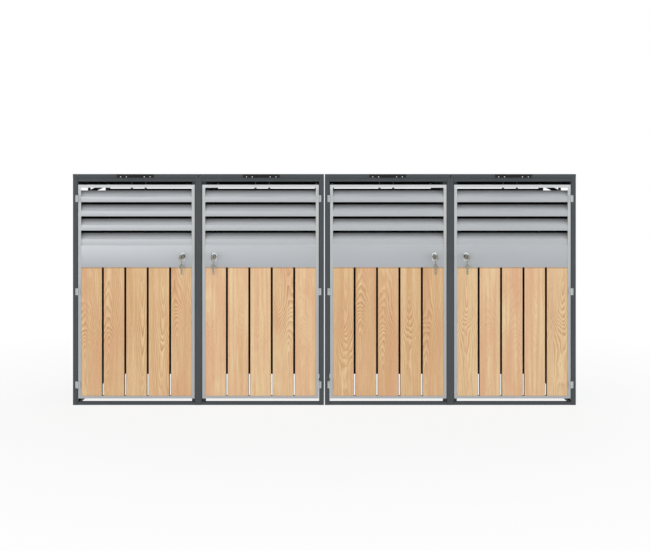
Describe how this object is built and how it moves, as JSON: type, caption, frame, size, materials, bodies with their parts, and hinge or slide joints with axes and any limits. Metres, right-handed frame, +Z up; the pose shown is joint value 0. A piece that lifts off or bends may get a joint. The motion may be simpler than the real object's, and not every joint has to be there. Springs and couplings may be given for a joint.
{
  "type": "bin store",
  "caption": "Bin store of two steel-framed double units side by side, each bay with a louvred oak plank door, key lock and a rear-hinged lid on gas struts.",
  "frame": {"origin": "on the ground under the middle of the whole bounding box", "axes": "+X to the right seen from the front, +Y from the doors to the rear wall, +Z up"},
  "size_m": [2.613, 0.8824, 1.2],
  "materials": {
    "anthracite": "matt anthracite powder coat",
    "silver": "satin silver powder coat",
    "oak": "light oiled oak",
    "hinge_steel": "satin zinc",
    "lock_chrome": "polished chrome",
    "key_nickel": "nickel",
    "strut_black": "black paint",
    "strut_chrome": "ground and polished rod",
    "zinc_wire": "bright zinc"
  },
  "bodies": {
    "store": {"front_frames": "anthracite", "rear_frames": "anthracite", "side_rails": "anthracite", "side_panels": "anthracite", "rear_panels": "anthracite", "partitions": "anthracite", "door_hinge_posts": "hinge_steel", "lid_hinge_posts": "hinge_steel"},
    "door_1": {"door_1_frame": "silver", "door_1_louvres": "silver", "door_1_lock_panel": "silver", "door_1_planks": "oak", "door_1_hinges": "hinge_steel", "door_1_lock_housing": "lock_chrome", "door_1_key_ring": "key_nickel"},
    "lock_1": {"door_1_lock_plug": "key_nickel"},
    "lid_1": {"lid_1_panel": "anthracite", "lid_1_grip": "anthracite"},
    "strut_tubes_1": {"lid_1_strut_tubes": "strut_black"},
    "strut_rods_1": {"lid_1_strut_rods": "strut_chrome"},
    "lifter_1": {"lid_1_lifter": "zinc_wire"},
    "door_2": {"door_2_frame": "silver", "door_2_louvres": "silver", "door_2_lock_panel": "silver", "door_2_planks": "oak", "door_2_hinges": "hinge_steel", "door_2_lock_housing": "lock_chrome", "door_2_key_ring": "key_nickel"},
    "lock_2": {"door_2_lock_plug": "key_nickel"},
    "lid_2": {"lid_2_panel": "anthracite", "lid_2_grip": "anthracite"},
    "strut_tubes_2": {"lid_2_strut_tubes": "strut_black"},
    "strut_rods_2": {"lid_2_strut_rods": "strut_chrome"},
    "lifter_2": {"lid_2_lifter": "zinc_wire"},
    "door_3": {"door_3_frame": "silver", "door_3_louvres": "silver", "door_3_lock_panel": "silver", "door_3_planks": "oak", "door_3_hinges": "hinge_steel", "door_3_lock_housing": "lock_chrome", "door_3_key_ring": "key_nickel"},
    "lock_3": {"door_3_lock_plug": "key_nickel"},
    "lid_3": {"lid_3_panel": "anthracite", "lid_3_grip": "anthracite"},
    "strut_tubes_3": {"lid_3_strut_tubes": "strut_black"},
    "strut_rods_3": {"lid_3_strut_rods": "strut_chrome"},
    "lifter_3": {"lid_3_lifter": "zinc_wire"},
    "door_4": {"door_4_frame": "silver", "door_4_louvres": "silver", "door_4_lock_panel": "silver", "door_4_planks": "oak", "door_4_hinges": "hinge_steel", "door_4_lock_housing": "lock_chrome", "door_4_key_ring": "key_nickel"},
    "lock_4": {"door_4_lock_plug": "key_nickel"},
    "lid_4": {"lid_4_panel": "anthracite", "lid_4_grip": "anthracite"},
    "strut_tubes_4": {"lid_4_strut_tubes": "strut_black"},
    "strut_rods_4": {"lid_4_strut_rods": "strut_chrome"},
    "lifter_4": {"lid_4_lifter": "zinc_wire"}
  },
  "joints": [
    {"name": "door_1_swing", "type": "hinge", "parent": "store", "child": "door_1", "pos_m": [-1.2805, -0.37525, 0.58925], "axis": [0, 0, -1], "range_deg": [0, 110]},
    {"name": "lock_1_turn", "type": "hinge", "parent": "door_1", "child": "lock_1", "pos_m": [-0.7365, -0.36975, 0.77], "axis": [0, -1, 0], "range_deg": [0, 90]},
    {"name": "lid_1_lift", "type": "hinge", "parent": "store", "child": "lid_1", "pos_m": [-0.98125, 0.43625, 1.18], "axis": [-1, 0, 0], "range_deg": [0, 80]},
    {"name": "strut_tubes_1_tilt", "type": "hinge", "parent": "store", "child": "strut_tubes_1", "pos_m": [-0.98125, -0.11975, 1.115], "axis": [1, 0, 0], "range_deg": [0, 16.93]},
    {"name": "strut_rods_1_slide", "type": "slide", "parent": "strut_tubes_1", "child": "strut_rods_1", "axis": [0, 0.9936, 0.1132], "range_m": [0, 0.15649]},
    {"name": "lifter_1_hang", "type": "hinge", "parent": "lid_1", "child": "lifter_1", "pos_m": [-0.98125, -0.27475, 1.19], "axis": [1, 0, 0], "range_deg": [0, 80]},
    {"name": "door_2_swing", "type": "hinge", "parent": "store", "child": "door_2", "pos_m": [-0.0285, -0.37525, 0.58925], "axis": [0, 0, 1], "range_deg": [0, 85]},
    {"name": "lock_2_turn", "type": "hinge", "parent": "door_2", "child": "lock_2", "pos_m": [-0.5725, -0.36975, 0.77], "axis": [0, 1, 0], "range_deg": [0, 90]},
    {"name": "lid_2_lift", "type": "hinge", "parent": "store", "child": "lid_2", "pos_m": [-0.32775, 0.43625, 1.18], "axis": [-1, 0, 0], "range_deg": [0, 80]},
    {"name": "strut_tubes_2_tilt", "type": "hinge", "parent": "store", "child": "strut_tubes_2", "pos_m": [-0.32775, -0.11975, 1.115], "axis": [1, 0, 0], "range_deg": [0, 16.93]},
    {"name": "strut_rods_2_slide", "type": "slide", "parent": "strut_tubes_2", "child": "strut_rods_2", "axis": [0, 0.9936, 0.1132], "range_m": [0, 0.15649]},
    {"name": "lifter_2_hang", "type": "hinge", "parent": "lid_2", "child": "lifter_2", "pos_m": [-0.32775, -0.27475, 1.19], "axis": [1, 0, 0], "range_deg": [0, 80]},
    {"name": "door_3_swing", "type": "hinge", "parent": "store", "child": "door_3", "pos_m": [0.0285, -0.37525, 0.58925], "axis": [0, 0, -1], "range_deg": [0, 85]},
    {"name": "lock_3_turn", "type": "hinge", "parent": "door_3", "child": "lock_3", "pos_m": [0.5725, -0.36975, 0.77], "axis": [0, -1, 0], "range_deg": [0, 90]},
    {"name": "lid_3_lift", "type": "hinge", "parent": "store", "child": "lid_3", "pos_m": [0.32775, 0.43625, 1.18], "axis": [-1, 0, 0], "range_deg": [0, 80]},
    {"name": "strut_tubes_3_tilt", "type": "hinge", "parent": "store", "child": "strut_tubes_3", "pos_m": [0.32775, -0.11975, 1.115], "axis": [1, 0, 0], "range_deg": [0, 16.93]},
    {"name": "strut_rods_3_slide", "type": "slide", "parent": "strut_tubes_3", "child": "strut_rods_3", "axis": [0, 0.9936, 0.1132], "range_m": [0, 0.15649]},
    {"name": "lifter_3_hang", "type": "hinge", "parent": "lid_3", "child": "lifter_3", "pos_m": [0.32775, -0.27475, 1.19], "axis": [1, 0, 0], "range_deg": [0, 80]},
    {"name": "door_4_swing", "type": "hinge", "parent": "store", "child": "door_4", "pos_m": [1.2805, -0.37525, 0.58925], "axis": [0, 0, 1], "range_deg": [0, 110]},
    {"name": "lock_4_turn", "type": "hinge", "parent": "door_4", "child": "lock_4", "pos_m": [0.7365, -0.36975, 0.77], "axis": [0, 1, 0], "range_deg": [0, 90]},
    {"name": "lid_4_lift", "type": "hinge", "parent": "store", "child": "lid_4", "pos_m": [0.98125, 0.43625, 1.18], "axis": [-1, 0, 0], "range_deg": [0, 80]},
    {"name": "strut_tubes_4_tilt", "type": "hinge", "parent": "store", "child": "strut_tubes_4", "pos_m": [0.98125, -0.11975, 1.115], "axis": [1, 0, 0], "range_deg": [0, 16.93]},
    {"name": "strut_rods_4_slide", "type": "slide", "parent": "strut_tubes_4", "child": "strut_rods_4", "axis": [0, 0.9936, 0.1132], "range_m": [0, 0.15649]},
    {"name": "lifter_4_hang", "type": "hinge", "parent": "lid_4", "child": "lifter_4", "pos_m": [0.98125, -0.27475, 1.19], "axis": [1, 0, 0], "range_deg": [0, 80]}
  ],
  "couplings": [
    {"joint": "strut_tubes_1_tilt", "follows": "lid_1_lift", "ratio": 0.21138},
    {"joint": "strut_rods_1_slide", "follows": "lid_1_lift", "m_per_rad": 0.112},
    {"joint": "lifter_1_hang", "follows": "lid_1_lift", "ratio": 1},
    {"joint": "strut_tubes_2_tilt", "follows": "lid_2_lift", "ratio": 0.21138},
    {"joint": "strut_rods_2_slide", "follows": "lid_2_lift", "m_per_rad": 0.112},
    {"joint": "lifter_2_hang", "follows": "lid_2_lift", "ratio": 1},
    {"joint": "strut_tubes_3_tilt", "follows": "lid_3_lift", "ratio": 0.21138},
    {"joint": "strut_rods_3_slide", "follows": "lid_3_lift", "m_per_rad": 0.112},
    {"joint": "lifter_3_hang", "follows": "lid_3_lift", "ratio": 1},
    {"joint": "strut_tubes_4_tilt", "follows": "lid_4_lift", "ratio": 0.21138},
    {"joint": "strut_rods_4_slide", "follows": "lid_4_lift", "m_per_rad": 0.112},
    {"joint": "lifter_4_hang", "follows": "lid_4_lift", "ratio": 1}
  ]
}
